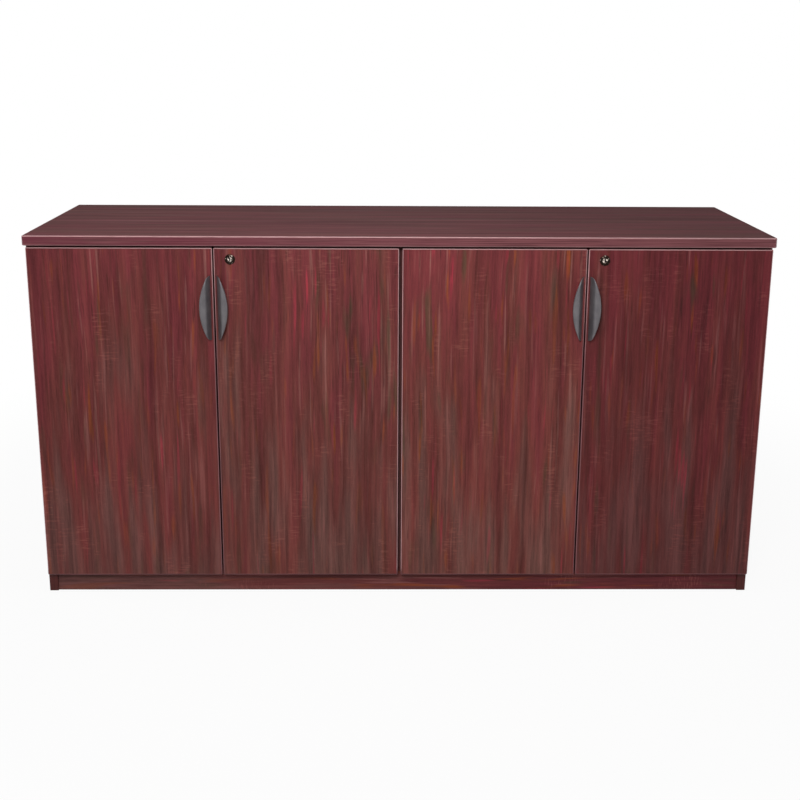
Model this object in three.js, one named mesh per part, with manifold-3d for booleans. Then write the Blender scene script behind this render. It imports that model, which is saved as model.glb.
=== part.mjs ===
// Office credenza: two cupboard boxes side by side under one long top.
// Each box has two overlay doors on concealed cup hinges, two crescent pulls, a cam lock
// and one adjustable shelf.
// Millimetres, +Z up, +X to the right as seen from the front, and the front faces -Y.
// The origin is on the floor, in the middle of the overall footprint, pulls included.
import * as THREE from "three";
import { mergeVertices } from "three/addons/utils/BufferGeometryUtils.js";
import Module from "manifold-3d";

const wasm = await Module();
wasm.setup();

// Overall sizes
const OVERALL_HEIGHT = 920;
const TOP_WIDTH = 1803;
const TOP_DEPTH = 610;
const TOP_THICK = 24;
const TOP_OVERHANG = 3; // past the doors at the front, and past the boxes at each end
const TOP_EDGE_RADIUS = 2.5;
const TOP_FACE_CORNER = 3.5; // corner radius of the flat face inside the eased edge
const SEAT_GAP = 0.3; // glue line or seat between two pieces that touch

// Boards of the boxes
const SIDE_THICK = 22;
const BOARD_THICK = 18; // bottoms, rails and shelves
const FRONT_EDGE_RADIUS = 1.5; // of the uprights and shelves
const BACK_THICK = 15;
const BACK_FLOOR_GAP = 10;
const KICK_THICK = 18;
const KICK_HEIGHT = 52;
const KICK_RECESS = 5; // behind the front edges of the end panels
const RAIL_DEPTH = 80;
const RAIL_SETBACK = 45;

// Shelves and their pins
const SHELF_SETBACK = 20;
const SHELF_SIDE_CLEARANCE = 1.5;
const SHELF_BACK_CLEARANCE = 2;
const PIN_RADIUS = 2.4;
const PIN_COLLAR_RADIUS = 3.5;
const PIN_COLLAR_LENGTH = 9;
const PIN_PEG_LENGTH = 9;
const PIN_HOLE_CLEARANCE = 0.4;
const PIN_PITCH = 32;
const PIN_ROWS = 7;
const PIN_COLUMN_SETBACK = 50; // from the front edge of the panel, and from the back panel
const PIN_SIDES = 8;

// Doors
const DOOR_THICK = 19;
const DOOR_BOTTOM = 53;
const DOOR_TOP_GAP = 4.5; // under the top
const DOOR_REVEAL = 4; // of the box's outer face beside the hinge edge
const DOOR_PAIR_GAP = 3.5; // between the two doors of one box
const DOOR_STANDOFF = 3.5; // between a closed door and the front edges of its box
const DOOR_EDGE_RADIUS = 2;
const DOOR_FACE_CORNER = 0.5;

// Crescent pulls
const PULL_LENGTH = 158;
const PULL_WIDTH = 26.5;
const PULL_PROJECTION = 22;
const PULL_EDGE_INSET = 6; // from the free edge of the door
const PULL_DROP = 145; // from the top of the door to the middle of the pull
const PULL_STEM_WIDTH = 11;
const PULL_FINGER_GAP = 13; // between the door and the underside of the wing
const PULL_CREST = 16; // from the straight edge to the line where the face levels off
const PULL_TIP_WIDTH = 5.5;
const PULL_NOSE_LENGTH = 6; // of the rounding at each tip
const PULL_NOSE_WIDTH = 2.5; // left at the very end
const PULL_STATIONS = 14;
const PULL_CURVE_STEPS = 4;

// Cup hinges
const HINGE_END_DISTANCE = 100; // from the top and the bottom of the door
const CUP_RADIUS = 17.5;
const CUP_TAB = 3; // door material between the hinge edge and the cup
const CUP_WALL = 0.8;
const CUP_CLEARANCE = 0.3;
const CUP_FLOOR_CLEARANCE = 0.2; // under the knuckle
const CUP_FLANGE_THICK = 1.2;
const CUP_FLANGE_LIP = 0.5;
const CUP_WING_WIDTH = 14;
const CUP_WING_SPAN = 58;
const CUP_WING_OFFSET = 9.5; // from the middle of the cup, away from the hinge edge
const CUP_SIDES = 20;
const HINGE_PIN_RADIUS = 1.2;
const HINGE_PIN_SIDES = 10;
const KNUCKLE_RADIUS = 2.5;
const KNUCKLE_CLEARANCE = 0.3;
const KNUCKLE_WALL_GAP = 0.93; // to the wall of the cup
const KNUCKLE_SIDES = 12;
const ARM_WIDTH = 10;
const ARM_THICK = 2.5;
const ARM_STANDOFF = 2; // between the gooseneck and the panel
const ARM_BEND_RADIUS = 3;
const ARM_BODY_HEIGHT = 12;
const ARM_BODY_WIDTH = 13;
const ARM_BODY_LENGTH = 50;
const PLATE_SETBACK = 37; // from the front edge of the panel to the screws
const PLATE_THICK = 2;
const PLATE_SPAN = 48;
const PLATE_WIDTH = 18;

// Cam locks
const LOCK_EDGE_DISTANCE = 39; // from the free edge of the door
const LOCK_DROP = 27; // from the top of the door
const LOCK_BEZEL_RADIUS = 12.5;
const LOCK_BEZEL_THICK = 3;
const LOCK_BEZEL_CHAMFER = 1.6;
const LOCK_BODY_RADIUS = 9;
const LOCK_BODY_PROJECTION = 7; // behind the door
const LOCK_HOLE_CLEARANCE = 0.4;
const LOCK_SIDES = 20;
const PLUG_RADIUS = 6.5;
const PLUG_CLEARANCE = 0.3;
const PLUG_RECESS = 0.5;
const PLUG_STUB_RADIUS = 4;
const PLUG_HEAD_RADIUS = 5.5;
const PLUG_HEAD_THICK = 2;
const KEYWAY_WIDTH = 1.8;
const KEYWAY_HEIGHT = 8;
const KEYWAY_DEPTH = 7;
const NUT_ACROSS_FLATS = 23;
const NUT_THICK = 5;
const CAM_WIDTH = 14;
const CAM_THICK = 2;
const CAM_CLEARANCE = 0.3;
const CAM_TIP_CLEARANCE = 1.7; // under the strike when turned up
const STRIKE_LENGTH = 30;
const STRIKE_THICK = 2;
const STRIKE_NUT_CLEARANCE = 1.4; // between the lip and the lock's nut
const STRIKE_FLANGE = 21;
const STRIKE_CAM_CLEARANCE = 1.5; // between the back of the lip and the front of the cam

// Worked-out places
const BODY_WIDTH = TOP_WIDTH - 2 * TOP_OVERHANG;
const BOX_WIDTH = (BODY_WIDTH - SEAT_GAP) / 2;
const TOP_UNDERSIDE = OVERALL_HEIGHT - TOP_THICK;
const PULL_REACH = SEAT_GAP + PULL_PROJECTION - TOP_OVERHANG; // of the pulls past the top's front edge
const TOP_FRONT = (PULL_REACH - TOP_DEPTH) / 2;
const TOP_BACK = TOP_FRONT + TOP_DEPTH;
const DOOR_FRONT = TOP_FRONT + TOP_OVERHANG;
const DOOR_BACK = DOOR_FRONT + DOOR_THICK;
const DOOR_WIDTH = (BOX_WIDTH - 2 * DOOR_REVEAL - DOOR_PAIR_GAP) / 2;
const DOOR_HEIGHT = TOP_UNDERSIDE - DOOR_TOP_GAP - DOOR_BOTTOM;
const BOX_FRONT = DOOR_BACK + DOOR_STANDOFF;
const BOX_TOP = TOP_UNDERSIDE - SEAT_GAP;
const BACK_FACE = TOP_BACK - BACK_THICK; // the inner face of the back panels
const BAY_WIDTH = BOX_WIDTH - 2 * SIDE_THICK;
const BOTTOM_TOP = KICK_HEIGHT + SEAT_GAP + BOARD_THICK;
const RAIL_BOTTOM = BOX_TOP - BOARD_THICK;
const SHELF_PIN_HEIGHT = pinRowHeight(Math.floor(PIN_ROWS / 2));
const PIN_COLUMNS = [BOX_FRONT + PIN_COLUMN_SETBACK, BACK_FACE - PIN_COLUMN_SETBACK];
const PANEL_FACE = SIDE_THICK - DOOR_REVEAL; // from a door's hinge edge to its panel's inner face
const HINGE_PIN_DEPTH = DOOR_THICK / 2; // the pin runs in the middle of the door's thickness
const CUP_MIDDLE = CUP_TAB + CUP_RADIUS;
const CUP_BORE = CUP_RADIUS - CUP_WALL;
const CUP_DEPTH = HINGE_PIN_DEPTH + KNUCKLE_RADIUS + CUP_FLOOR_CLEARANCE + CUP_WALL;
const CUP_HALF_CHORD = Math.sqrt(CUP_BORE ** 2 - (ARM_WIDTH / 2) ** 2); // across the bore beside the arm
const KNUCKLE_REACH = KNUCKLE_RADIUS + KNUCKLE_WALL_GAP;
const HINGE_PIN_INSET = CUP_MIDDLE - CUP_HALF_CHORD + KNUCKLE_REACH; // from the hinge edge of the door
const CAM_FRONT = LOCK_BODY_PROJECTION + CAM_CLEARANCE; // behind the back of the door
const LOCK_TO_SEAT = LOCK_DROP + DOOR_TOP_GAP - SEAT_GAP; // from the lock's axis up to the strike's seat
const CAM_LENGTH = LOCK_TO_SEAT - STRIKE_THICK - CAM_TIP_CLEARANCE;
const NUT_RADIUS = NUT_ACROSS_FLATS / Math.sqrt(3);
const STRIKE_LIP = LOCK_TO_SEAT - NUT_RADIUS - STRIKE_NUT_CLEARANCE;

// Finishes
const finish = (color, roughness, metalness = 0) =>
  new THREE.MeshStandardMaterial({ color, roughness, metalness });
const MAHOGANY = finish(0x69393a, 0.42);
const MAHOGANY_TOP = finish(0x62413f, 0.38);
const PULL_GREY = finish(0x55565a, 0.5);
const NICKEL = finish(0xb9b6b0, 0.3, 1);
const DARK_NICKEL = finish(0x4a443e, 0.3, 1);
const ZINC = finish(0xa9abad, 0.4, 1);

const credenza = new THREE.Group();

function addMesh(parent, name, geometry, material, position = [0, 0, 0]) {
  const mesh = new THREE.Mesh(geometry, material);
  mesh.name = name;
  mesh.position.set(...position);
  parent.add(mesh);
  return mesh;
}

function addGroup(parent, position, mirrored = false) {
  const group = new THREE.Group();
  group.position.set(...position);
  if (mirrored) group.scale.x = -1;
  parent.add(group);
  return group;
}

// A closed geometry as a solid for joining and cutting.
function solidOf(geometry) {
  const bare = geometry.clone();
  bare.deleteAttribute("normal");
  bare.deleteAttribute("uv");
  const merged = mergeVertices(bare);
  return new wasm.Manifold(
    new wasm.Mesh({
      numProp: 3,
      vertProperties: merged.attributes.position.array,
      triVerts: new Uint32Array(merged.index.array),
    }),
  );
}

function geometryOf(solid) {
  const mesh = solid.getMesh();
  const geometry = new THREE.BufferGeometry();
  geometry.setAttribute("position", new THREE.BufferAttribute(mesh.vertProperties, 3));
  geometry.setIndex(new THREE.BufferAttribute(mesh.triVerts, 1));
  return geometry;
}

function joined(...geometries) {
  const solids = geometries.map(solidOf);
  return geometryOf(solids.reduce((whole, solid) => whole.add(solid)));
}

function cut(geometry, ...tools) {
  const solids = tools.map(solidOf);
  return geometryOf(solids.reduce((whole, solid) => whole.subtract(solid), solidOf(geometry)));
}

function common(geometry, other) {
  return geometryOf(solidOf(geometry).intersect(solidOf(other)));
}

// A block between two corners.
function block([x0, y0, z0], [x1, y1, z1]) {
  const geometry = new THREE.BoxGeometry(x1 - x0, y1 - y0, z1 - z0);
  return geometry.translate((x0 + x1) / 2, (y0 + y1) / 2, (z0 + z1) / 2);
}

// A rod along X, Y or Z between two places on that axis, through a point of the two other axes.
function rod(axis, radius, from, to, [a, b], sides) {
  const geometry = new THREE.CylinderGeometry(radius, radius, to - from, sides);
  const middle = (from + to) / 2;
  if (axis === "x") return geometry.rotateZ(-Math.PI / 2).translate(middle, a, b);
  if (axis === "y") return geometry.translate(a, middle, b);
  return geometry.rotateX(Math.PI / 2).translate(a, b, middle);
}

function roundedRectangle(width, height, radius) {
  const shape = new THREE.Shape();
  const x = width / 2;
  const y = height / 2;
  shape.moveTo(-x + radius, -y);
  shape.lineTo(x - radius, -y);
  shape.absarc(x - radius, -y + radius, radius, -Math.PI / 2, 0);
  shape.lineTo(x, y - radius);
  shape.absarc(x - radius, y - radius, radius, 0, Math.PI / 2);
  shape.lineTo(-x + radius, y);
  shape.absarc(-x + radius, y - radius, radius, Math.PI / 2, Math.PI);
  shape.lineTo(-x, -y + radius);
  shape.absarc(-x + radius, -y + radius, radius, Math.PI, (3 * Math.PI) / 2);
  return shape;
}

// A flat board in the XY plane, centred on the origin, with round corners and eased edges.
function easedBoard(width, height, thick, faceCorner, edgeRadius) {
  const inset = 2 * edgeRadius;
  const outline = roundedRectangle(width - inset, height - inset, faceCorner);
  const board = new THREE.ExtrudeGeometry(outline, {
    depth: thick - inset,
    bevelSize: edgeRadius,
    bevelThickness: edgeRadius,
    bevelSegments: 3,
    curveSegments: 2,
  });
  return board.translate(0, 0, edgeRadius - thick / 2);
}

// A board with two eased edges at its front: x from 0 to its thickness, y from front to back,
// z from 0 to its length.
function easedFront(thick, front, back, length) {
  const radius = FRONT_EDGE_RADIUS;
  const outline = new THREE.Shape();
  outline.moveTo(0, back);
  outline.lineTo(0, front + radius);
  outline.absarc(radius, front + radius, radius, Math.PI, (3 * Math.PI) / 2);
  outline.lineTo(thick - radius, front);
  outline.absarc(thick - radius, front + radius, radius, -Math.PI / 2, 0);
  outline.lineTo(thick, back);
  return new THREE.ExtrudeGeometry(outline, { depth: length, bevelEnabled: false, curveSegments: 3 });
}

// Top
addMesh(
  credenza,
  "top_panel",
  easedBoard(TOP_WIDTH, TOP_DEPTH, TOP_THICK, TOP_FACE_CORNER, TOP_EDGE_RADIUS),
  MAHOGANY_TOP,
  [0, (TOP_FRONT + TOP_BACK) / 2, OVERALL_HEIGHT - TOP_THICK / 2],
);

// Toe kick, one board from end panel to end panel
const KICK_HALF = BODY_WIDTH / 2 - SIDE_THICK - SEAT_GAP;
const KICK_FRONT = BOX_FRONT + KICK_RECESS;
const KICK_BACK = KICK_FRONT + KICK_THICK;
addMesh(
  credenza,
  "kick_panel",
  block([-KICK_HALF, KICK_FRONT, 0], [KICK_HALF, KICK_BACK, KICK_HEIGHT]),
  MAHOGANY,
);

// Rows of pin holes are centred on the height of the bay.
function pinRowHeight(row) {
  return (BOTTOM_TOP + RAIL_BOTTOM) / 2 + (row - (PIN_ROWS - 1) / 2) * PIN_PITCH;
}

// An upright panel with its outer face at x = 0 and its inner face at SIDE_THICK.
// Two columns of pin holes are bored in the inner face. A partition is notched behind the toe kick.
function uprightPanel(notched) {
  const upright = easedFront(SIDE_THICK, BOX_FRONT, TOP_BACK, BOX_TOP);
  const notch = block(
    [-SEAT_GAP, BOX_FRONT - SEAT_GAP, -SEAT_GAP],
    [SIDE_THICK + SEAT_GAP, KICK_BACK + SEAT_GAP, KICK_HEIGHT + SEAT_GAP],
  );
  const board = notched ? cut(upright, notch) : upright;
  const holeFloor = SIDE_THICK - PIN_PEG_LENGTH - PIN_HOLE_CLEARANCE;
  const holes = [];
  for (const y of PIN_COLUMNS) {
    for (let row = 0; row < PIN_ROWS; row++) {
      const z = pinRowHeight(row);
      const radius = PIN_RADIUS + PIN_HOLE_CLEARANCE;
      holes.push(rod("x", radius, holeFloor, SIDE_THICK + 1, [y, z], PIN_SIDES));
    }
  }
  return cut(board, ...holes);
}

// A shelf pin with its collar's outer end at the top of the lathe's axis, turned to lie along X.
function shelfPin() {
  const profile = [
    [0, -PIN_PEG_LENGTH],
    [PIN_RADIUS, -PIN_PEG_LENGTH],
    [PIN_RADIUS, SEAT_GAP],
    [PIN_COLLAR_RADIUS, SEAT_GAP],
    [PIN_COLLAR_RADIUS, PIN_COLLAR_LENGTH],
    [0, PIN_COLLAR_LENGTH],
  ];
  const points = profile.map(([radius, along]) => new THREE.Vector2(radius, along));
  return new THREE.LatheGeometry(points, PIN_SIDES).rotateZ(-Math.PI / 2);
}

// A door board with its hinge edge at x = 0, its back face at y = 0 and its bottom at z = 0.
function doorBoard(locked) {
  const board = easedBoard(DOOR_WIDTH, DOOR_HEIGHT, DOOR_THICK, DOOR_FACE_CORNER, DOOR_EDGE_RADIUS);
  board.rotateX(Math.PI / 2).translate(DOOR_WIDTH / 2, -DOOR_THICK / 2, DOOR_HEIGHT / 2);
  const pocketRadius = CUP_RADIUS + CUP_CLEARANCE;
  const pocketFloor = -CUP_DEPTH - CUP_CLEARANCE;
  const tools = hingeHeights().map((z) =>
    rod("y", pocketRadius, pocketFloor, 1, [CUP_MIDDLE, z], CUP_SIDES),
  );
  if (locked) {
    const radius = LOCK_BODY_RADIUS + LOCK_HOLE_CLEARANCE;
    tools.push(rod("y", radius, -DOOR_THICK - 1, 1, lockCentre(), LOCK_SIDES));
  }
  return cut(board, ...tools);
}

function hingeHeights() {
  return [HINGE_END_DISTANCE, DOOR_HEIGHT - HINGE_END_DISTANCE];
}

function lockCentre() {
  return [DOOR_WIDTH - LOCK_EDGE_DISTANCE, DOOR_HEIGHT - LOCK_DROP];
}

// Height of the pull's face over the door, x from its straight edge: a parabola up to the crest.
function pullFace(x) {
  return PULL_PROJECTION * (1 - Math.max(0, 1 - x / PULL_CREST) ** 2);
}

// The pull's section at full size: x from the straight edge to the rim, y out from the door.
// The face rises to its crest and rolls over a round rim to the finger gap behind the wing.
function pullSection() {
  const rimMiddle = (PULL_PROJECTION + PULL_FINGER_GAP) / 2;
  const shape = new THREE.Shape();
  shape.moveTo(0, 0);
  shape.quadraticCurveTo(PULL_CREST / 2, PULL_PROJECTION, PULL_CREST, PULL_PROJECTION);
  shape.quadraticCurveTo(PULL_WIDTH, PULL_PROJECTION, PULL_WIDTH, rimMiddle);
  shape.quadraticCurveTo(PULL_WIDTH, PULL_FINGER_GAP, PULL_CREST, PULL_FINGER_GAP);
  shape.quadraticCurveTo(PULL_STEM_WIDTH, PULL_FINGER_GAP, PULL_STEM_WIDTH, 0);
  return shape.getPoints(PULL_CURVE_STEPS);
}

// Width of the pull at a place along it, from -1 to 1: an arc, with a round nose at each tip.
function pullWidth(along) {
  const arcWidth = PULL_TIP_WIDTH + (PULL_WIDTH - PULL_TIP_WIDTH) * (1 - along * along);
  const pastArc = (Math.abs(along) * PULL_LENGTH) / 2 - (PULL_LENGTH / 2 - PULL_NOSE_LENGTH);
  const nose = Math.max(0, pastArc / PULL_NOSE_LENGTH);
  return PULL_NOSE_WIDTH + (arcWidth - PULL_NOSE_WIDTH) * Math.sqrt(1 - nose * nose);
}

// The pull: its face keeps one profile from tip to tip, and the rim runs in an arc.
// x = 0 is the straight edge, the door's face is y = 0, and the pull stands towards -y.
function crescentPull() {
  const section = pullSection();
  const ring = section.length;
  const positions = [];
  for (let station = 0; station <= PULL_STATIONS; station++) {
    const along = Math.sin((Math.PI * station) / PULL_STATIONS - Math.PI / 2);
    const width = pullWidth(along);
    for (const point of section) {
      const x = (point.x / PULL_WIDTH) * width;
      const lift = point.x > 0 ? pullFace(x) / pullFace(point.x) : 1;
      positions.push(x, -point.y * lift, (along * PULL_LENGTH) / 2);
    }
  }
  const faces = [];
  for (let station = 0; station < PULL_STATIONS; station++) {
    for (let i = 0; i < ring; i++) {
      const a = station * ring + i;
      const b = station * ring + ((i + 1) % ring);
      faces.push(a, b, a + ring, b, b + ring, a + ring);
    }
  }
  const caps = THREE.ShapeUtils.triangulateShape(section, []);
  const last = PULL_STATIONS * ring;
  for (const [a, b, c] of caps) faces.push(a, b, c, last + a, last + c, last + b);
  const geometry = new THREE.BufferGeometry();
  geometry.setAttribute("position", new THREE.Float32BufferAttribute(positions, 3));
  return geometry.setIndex(faces);
}

// A hinge cup with its flange, wings and pin. x from the door's hinge edge, y = 0 at the door's back face.
function hingeCup() {
  const lip = CUP_RADIUS + CUP_FLANGE_LIP;
  const flangeTop = SEAT_GAP + CUP_FLANGE_THICK;
  const profile = [
    [0, -CUP_DEPTH],
    [CUP_RADIUS, -CUP_DEPTH],
    [CUP_RADIUS, SEAT_GAP],
    [lip, SEAT_GAP],
    [lip, flangeTop],
    [CUP_BORE, flangeTop],
    [CUP_BORE, CUP_WALL - CUP_DEPTH],
    [0, CUP_WALL - CUP_DEPTH],
  ];
  const points = profile.map(([radius, along]) => new THREE.Vector2(radius, along));
  const cup = new THREE.LatheGeometry(points, CUP_SIDES).translate(CUP_MIDDLE, 0, 0);
  const wingMiddle = CUP_MIDDLE + CUP_WING_OFFSET;
  const wallMiddle = CUP_BORE + CUP_WALL / 2;
  const midWall = rod("y", wallMiddle, -CUP_DEPTH, CUP_DEPTH, [CUP_MIDDLE, 0], CUP_SIDES);
  const wings = cut(
    block(
      [wingMiddle - CUP_WING_WIDTH / 2, SEAT_GAP, -CUP_WING_SPAN / 2],
      [wingMiddle + CUP_WING_WIDTH / 2, flangeTop, CUP_WING_SPAN / 2],
    ),
    midWall,
  );
  const pinPlace = [HINGE_PIN_INSET, -HINGE_PIN_DEPTH];
  const pin = rod("z", HINGE_PIN_RADIUS, -CUP_RADIUS, CUP_RADIUS, pinPlace, HINGE_PIN_SIDES);
  return joined(cup, wings, common(pin, midWall));
}

// A hinge arm and its plate: a knuckle on the cup's pin, a gooseneck round the panel's front edge,
// and the arm's body over a cross-shaped plate on the panel. Same frame as the cup.
function hingeArm() {
  const pinY = -HINGE_PIN_DEPTH;
  const low = pinY - KNUCKLE_RADIUS;
  const near = PANEL_FACE + ARM_STANDOFF;
  const far = near + ARM_THICK;
  const plateMiddle = DOOR_STANDOFF + PLATE_SETBACK;
  const bodyStart = plateMiddle - ARM_BODY_LENGTH / 2;
  const neckEnd = bodyStart + ARM_THICK;
  const neck = new THREE.Shape();
  neck.moveTo(HINGE_PIN_INSET, low);
  neck.lineTo(far - ARM_BEND_RADIUS, low);
  neck.absarc(far - ARM_BEND_RADIUS, low + ARM_BEND_RADIUS, ARM_BEND_RADIUS, -Math.PI / 2, 0);
  neck.lineTo(far, neckEnd);
  neck.lineTo(near, neckEnd);
  neck.lineTo(near, low + ARM_THICK);
  neck.lineTo(HINGE_PIN_INSET, low + ARM_THICK);
  const gooseneck = new THREE.ExtrudeGeometry(neck, {
    depth: ARM_WIDTH,
    bevelEnabled: false,
    curveSegments: 4,
  }).translate(0, 0, -ARM_WIDTH / 2);
  const pinPlace = [HINGE_PIN_INSET, pinY];
  const half = ARM_WIDTH / 2;
  const knuckle = rod("z", KNUCKLE_RADIUS, -half, half, pinPlace, KNUCKLE_SIDES);
  const eyeRadius = HINGE_PIN_RADIUS + KNUCKLE_CLEARANCE;
  const eye = rod("z", eyeRadius, -ARM_WIDTH, ARM_WIDTH, pinPlace, KNUCKLE_SIDES);
  const seat = PANEL_FACE + SEAT_GAP;
  const body = block(
    [seat, bodyStart, -ARM_BODY_WIDTH / 2],
    [PANEL_FACE + ARM_BODY_HEIGHT, bodyStart + ARM_BODY_LENGTH, ARM_BODY_WIDTH / 2],
  );
  const plate = block(
    [seat, plateMiddle - PLATE_WIDTH / 2, -PLATE_SPAN / 2],
    [seat + PLATE_THICK, plateMiddle + PLATE_WIDTH / 2, PLATE_SPAN / 2],
  );
  return cut(joined(gooseneck, knuckle, body, plate), eye);
}

// Lock pieces share the lock's axis: y = 0 is the door's back face.
function lathe(profile) {
  return new THREE.LatheGeometry(
    profile.map(([radius, along]) => new THREE.Vector2(radius, along)),
    LOCK_SIDES,
  );
}

function lockHousing() {
  const bore = PLUG_RADIUS + PLUG_CLEARANCE;
  const faceBack = -DOOR_THICK - SEAT_GAP;
  const face = faceBack - LOCK_BEZEL_THICK;
  const outer = [
    [bore, face],
    [LOCK_BEZEL_RADIUS - LOCK_BEZEL_CHAMFER, face],
    [LOCK_BEZEL_RADIUS, face + LOCK_BEZEL_CHAMFER],
    [LOCK_BEZEL_RADIUS, faceBack],
    [LOCK_BODY_RADIUS, faceBack],
    [LOCK_BODY_RADIUS, LOCK_BODY_PROJECTION],
    [bore, LOCK_BODY_PROJECTION],
  ];
  return lathe([...outer, outer[0]]);
}

function lockPlug() {
  const face = -DOOR_THICK - SEAT_GAP - LOCK_BEZEL_THICK + PLUG_RECESS;
  const stubEnd = CAM_FRONT + CAM_THICK + CAM_CLEARANCE;
  const barrel = lathe([
    [0, face],
    [PLUG_RADIUS, face],
    [PLUG_RADIUS, LOCK_BODY_PROJECTION],
    [PLUG_STUB_RADIUS, LOCK_BODY_PROJECTION],
    [PLUG_STUB_RADIUS, stubEnd],
    [PLUG_HEAD_RADIUS, stubEnd],
    [PLUG_HEAD_RADIUS, stubEnd + PLUG_HEAD_THICK],
    [0, stubEnd + PLUG_HEAD_THICK],
  ]);
  const keyway = block(
    [-KEYWAY_WIDTH / 2, face - 1, -KEYWAY_HEIGHT / 2],
    [KEYWAY_WIDTH / 2, face + KEYWAY_DEPTH, KEYWAY_HEIGHT / 2],
  );
  return cut(barrel, keyway);
}

// The cam points along +x, towards the door's free edge, when the lock is open.
function lockCam() {
  const half = CAM_WIDTH / 2;
  const outline = new THREE.Shape();
  outline.absarc(0, 0, half, Math.PI / 2, (3 * Math.PI) / 2);
  outline.lineTo(CAM_LENGTH - half / 2, -half);
  outline.quadraticCurveTo(CAM_LENGTH, -half, CAM_LENGTH, 0);
  outline.quadraticCurveTo(CAM_LENGTH, half, CAM_LENGTH - half / 2, half);
  const plate = new THREE.ExtrudeGeometry(outline, {
    depth: CAM_THICK,
    bevelEnabled: false,
    curveSegments: 6,
  });
  plate.rotateX(Math.PI / 2).translate(0, CAM_FRONT + CAM_THICK, 0);
  const holeRadius = PLUG_STUB_RADIUS + CAM_CLEARANCE;
  return cut(plate, rod("y", holeRadius, 0, CAM_FRONT + 2 * CAM_THICK, [0, 0], LOCK_SIDES));
}

function lockNut() {
  const hex = rod("y", NUT_RADIUS, SEAT_GAP, SEAT_GAP + NUT_THICK, [0, 0], 6);
  const holeRadius = LOCK_BODY_RADIUS + LOCK_HOLE_CLEARANCE;
  return cut(hex, rod("y", holeRadius, -1, NUT_THICK + 1, [0, 0], LOCK_SIDES));
}

// The strike: a flange under the top and a lip that hangs between the door and the turned-up cam.
// z = 0 is the underside of the top, and y = 0 the back face of the closed door.
function lockStrike() {
  const lipBack = CAM_FRONT - STRIKE_CAM_CLEARANCE;
  const lipFront = lipBack - STRIKE_THICK;
  const half = STRIKE_LENGTH / 2;
  return joined(
    block([-half, lipFront, -SEAT_GAP - STRIKE_LIP], [half, lipBack, -SEAT_GAP]),
    block([-half, lipFront, -SEAT_GAP - STRIKE_THICK], [half, lipFront + STRIKE_FLANGE, -SEAT_GAP]),
  );
}

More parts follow.
